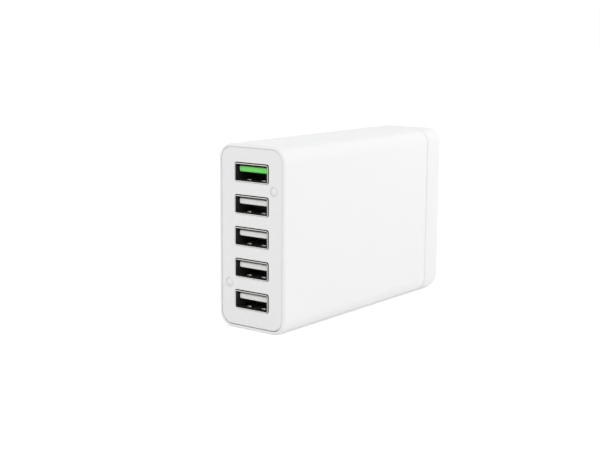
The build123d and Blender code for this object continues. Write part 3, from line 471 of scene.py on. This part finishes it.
# Cured lacquer over glass weave: a deep glossy green, uneven where it flowed round the tracks.
solder_mask = grained("green_solder_mask", "#1F6338", "#1A5630",
                      roughness=0.3, grain_mm=0.6, depth_mm=0.002)
paint(solder_mask, "usb_board", "main_board")


# Moulded components: chips, transistors, fuse, rectifier and bobbin in black epoxy compound,
# soldered to the boards, with the optocoupler in a white one.
# Mineral-filled epoxy, transfer moulded: a matt grey-black or chalky white with a faint speckle.
black_epoxy = grained("black_epoxy_compound", "#1C1C1D", "#222223",
                      roughness=0.55, grain_mm=0.25, depth_mm=0.003)
white_epoxy = grained("white_epoxy_compound", "#D8D7D2", "#CFCEC9",
                      roughness=0.5, grain_mm=0.25, depth_mm=0.003)
paint(black_epoxy, "fuse", "bridge_rectifier", "power_switch", "switching_controller",
      "output_rectifier", "transformer_bobbin",
      *(f"charge_controller_{number}" for number in PORTS))
paint(white_epoxy, "optocoupler")


# Capacitors: dipped blue discs, a boxed yellow film type, large cans in a dark shrink sleeve
# and small bare aluminium cans, all standing or lying on the main board.
# Dipped epoxy runs to a glossy, slightly wavy skin; the moulded film box is duller and even.
blue_epoxy = grained("blue_dipped_epoxy", "#2346A0", "#1E3E92",
                     roughness=0.3, grain_mm=0.8, depth_mm=0.006)
yellow_box = grained("yellow_film_box", "#D9B04A", "#CFA742",
                     roughness=0.45, grain_mm=0.4, depth_mm=0.002)
# Shrunk PVC film is smooth and shiny with slow ripples; the drawn cans keep fine upright lines.
shrink_sleeve = grained("dark_shrink_sleeve", "#20242E", "#262B36",
                        roughness=0.3, grain_mm=1.2, depth_mm=0.004)
can_aluminium = drawn_metal("drawn_aluminium_can", "#C6C7C9", roughness=0.3, line_mm=0.15)
paint(blue_epoxy, "varistor", "y_capacitor")
paint(yellow_box, "x_capacitor")
paint(shrink_sleeve, "bulk_capacitor_1", "bulk_capacitor_2")
paint(can_aluminium, "output_capacitor_1", "output_capacitor_2", "output_capacitor_3")


# Wound parts: dark sintered ferrite cores, lacquered copper windings and the transformer coil
# under yellow polyester tape.
# Pressed and fired oxide: a dry, sooty black that hardly shines.
ferrite = grained("sintered_ferrite", "#2B2B2C", "#333334",
                  roughness=0.62, grain_mm=0.2, depth_mm=0.006)
# Drawn copper wire under clear lacquer: warm, glossy orange-brown.
copper = drawn_metal("lacquered_copper", "#B56A3C", roughness=0.26, line_mm=0.5)
# Polyester tape wound tight: a flat bright yellow with a glossy film surface.
yellow_tape = grained("yellow_polyester_tape", "#E0C038", "#D6B632",
                      roughness=0.28, grain_mm=1.0, depth_mm=0.003)
paint(ferrite, "line_choke_core", "output_choke_core",
      "transformer_core_lower", "transformer_core_upper")
paint(copper, "line_choke_winding_1", "line_choke_winding_2", "output_choke_winding")
paint(yellow_tape, "transformer_winding")


# Cooling and insulation: aluminium heat sinks and spreader, a soft silicone pad on the
# transformer, a polyester sheet over the solder side, and the panel's zinc-plated screws.
# Mill-finish aluminium: soft grey with visible rolling lines.
sheet_aluminium = drawn_metal("rolled_aluminium_sheet", "#B4B5B7", roughness=0.38, line_mm=0.2)
# Filled silicone rubber: a dull, soft grey with no highlight to speak of.
silicone = grained("grey_silicone_pad", "#8C9298", "#848A90",
                   roughness=0.7, grain_mm=0.5, depth_mm=0.01)
# Milky polyester film: pale, smooth and shiny, with slow waves where it is bent round the board.
polyester = grained("polyester_film", "#D4D2C6", "#CFCDC0",
                    roughness=0.25, grain_mm=3.0, depth_mm=0.01)
# Zinc plate over steel wire: a cool grey with a blurred shine.
zinc = drawn_metal("zinc_plated_steel", "#A9ABAE", roughness=0.36, line_mm=0.1)
paint(sheet_aluminium, "power_heat_sink", "output_heat_sink", "heat_spreader")
paint(silicone, "thermal_pad")
paint(polyester, "insulating_sheet")
paint(zinc, "panel_screws")


# Studio: a plain white floor, white surroundings and soft lamps. The world and the floor show
# pure white to the camera and in reflections, and give a plain level of light.
FLOOR_HALF = 1.5
FLOOR_DROP = 0.02 * MM
FLOOR_LIFT = 0.45
WORLD_LEVEL = 0.65
PURE_WHITE = linear("#FFFFFF")
LAMP_AIM = Vector((0, 0, 30)) * MM


def seen_rays(tree):
    """1 for rays from the camera, off shiny faces or through clear ones, 0 for those that light."""
    rays = add(tree, "ShaderNodeLightPath", {}).outputs
    direct = add(tree, "ShaderNodeMath", {0: rays["Is Camera Ray"], 1: rays["Is Glossy Ray"]},
                 operation="MAXIMUM")
    seen = add(tree, "ShaderNodeMath", {0: direct.outputs["Value"], 1: rays["Is Transmission Ray"]},
               operation="MAXIMUM")
    return seen.outputs["Value"]


floor_shape = bmesh.new()
bmesh.ops.create_grid(floor_shape, x_segments=1, y_segments=1, size=FLOOR_HALF)
bmesh.ops.translate(floor_shape, vec=(0, 0, -FLOOR_DROP), verts=floor_shape.verts)
floor_mesh = bpy.data.meshes.new("floor")
floor_shape.to_mesh(floor_mesh)
floor_shape.free()
floor = bpy.data.objects.new("floor", floor_mesh)
bpy.context.scene.collection.objects.link(floor)

# Matt background paper: it has no highlight, and it is lifted to pure white where it is seen.
floor_paper = bpy.data.materials.new("white_paper_floor")
floor_paper.use_nodes = True
tree = floor_paper.node_tree
tree.nodes.remove(tree.nodes["Principled BSDF"])
paper = add(tree, "ShaderNodeBsdfDiffuse", {"Color": linear("#F4F4F4")})
glow = add(tree, "ShaderNodeEmission", {"Color": PURE_WHITE, "Strength": FLOOR_LIFT})
lift = add(tree, "ShaderNodeAddShader", {0: paper.outputs["BSDF"], 1: glow.outputs["Emission"]})
shown = add(tree, "ShaderNodeMixShader", {
    "Fac": seen_rays(tree), 1: paper.outputs["BSDF"], 2: lift.outputs["Shader"]})
tree.links.new(shown.outputs["Shader"], tree.nodes["Material Output"].inputs["Surface"])
floor_mesh.materials.append(floor_paper)

world = bpy.data.worlds.new("white_studio")
bpy.context.scene.world = world
world.use_nodes = True
tree = world.node_tree
light = tree.nodes["Background"]
light.inputs["Color"].default_value = PURE_WHITE
light.inputs["Strength"].default_value = WORLD_LEVEL
backdrop = add(tree, "ShaderNodeBackground", {"Color": PURE_WHITE, "Strength": 1.0})
shown = add(tree, "ShaderNodeMixShader", {
    "Fac": seen_rays(tree), 1: light.outputs["Background"], 2: backdrop.outputs["Background"]})
tree.links.new(shown.outputs["Shader"], tree.nodes["World Output"].inputs["Surface"])


def soft_lamp(name, place, size, power):
    """Square soft box pointed at the middle of the charger."""
    data = bpy.data.lights.new(name, "AREA")
    data.shape = "SQUARE"
    data.size = size
    data.energy = power
    lamp = bpy.data.objects.new(name, data)
    lamp.location = place
    lamp.rotation_euler = (Vector(place) - LAMP_AIM).to_track_quat("Z", "Y").to_euler()
    bpy.context.scene.collection.objects.link(lamp)


soft_lamp("key_softbox", (0.44, -0.32, 0.585), size=0.45, power=1.07)
soft_lamp("left_softbox", (-0.4, -0.55, 0.5), size=0.45, power=0.8)
soft_lamp("right_softbox", (0.68, 0.12, 0.34), size=0.45, power=0.33)
soft_lamp("rear_softbox", (0.24, 0.38, 0.19), size=0.6, power=0.583)


# Camera: stands to the right of the charger's front and a little above it, with a long lens.
# Its place, turn and focal length were fitted to the corners and ports in the photograph.
AZIMUTH = radians(37.2995)
ELEVATION = radians(10.0099)
ROLL = radians(0.3209)
DISTANCE = 406.365 * MM
TARGET = Vector((-11.6025, -6.25, 23.9976)) * MM
FOCAL_PX = 1196.02
PICTURE_WIDTH_PX = 600
SENSOR_MM = 36.0
CLIP_START = 10.0 * MM

camera_data = bpy.data.cameras.new("camera")
camera_data.sensor_fit = "HORIZONTAL"
camera_data.sensor_width = SENSOR_MM
camera_data.lens = FOCAL_PX / PICTURE_WIDTH_PX * SENSOR_MM
camera_data.clip_start = CLIP_START
camera = bpy.data.objects.new("camera", camera_data)
away = Vector((sin(AZIMUTH) * cos(ELEVATION), -cos(AZIMUTH) * cos(ELEVATION), sin(ELEVATION)))
camera.location = TARGET + away * DISTANCE
camera.rotation_mode = "QUATERNION"
camera.rotation_quaternion = away.to_track_quat("Z", "Y") @ Quaternion((0, 0, 1), ROLL)
bpy.context.scene.collection.objects.link(camera)
bpy.context.scene.camera = camera
bpy.context.scene.view_settings.view_transform = "Standard"
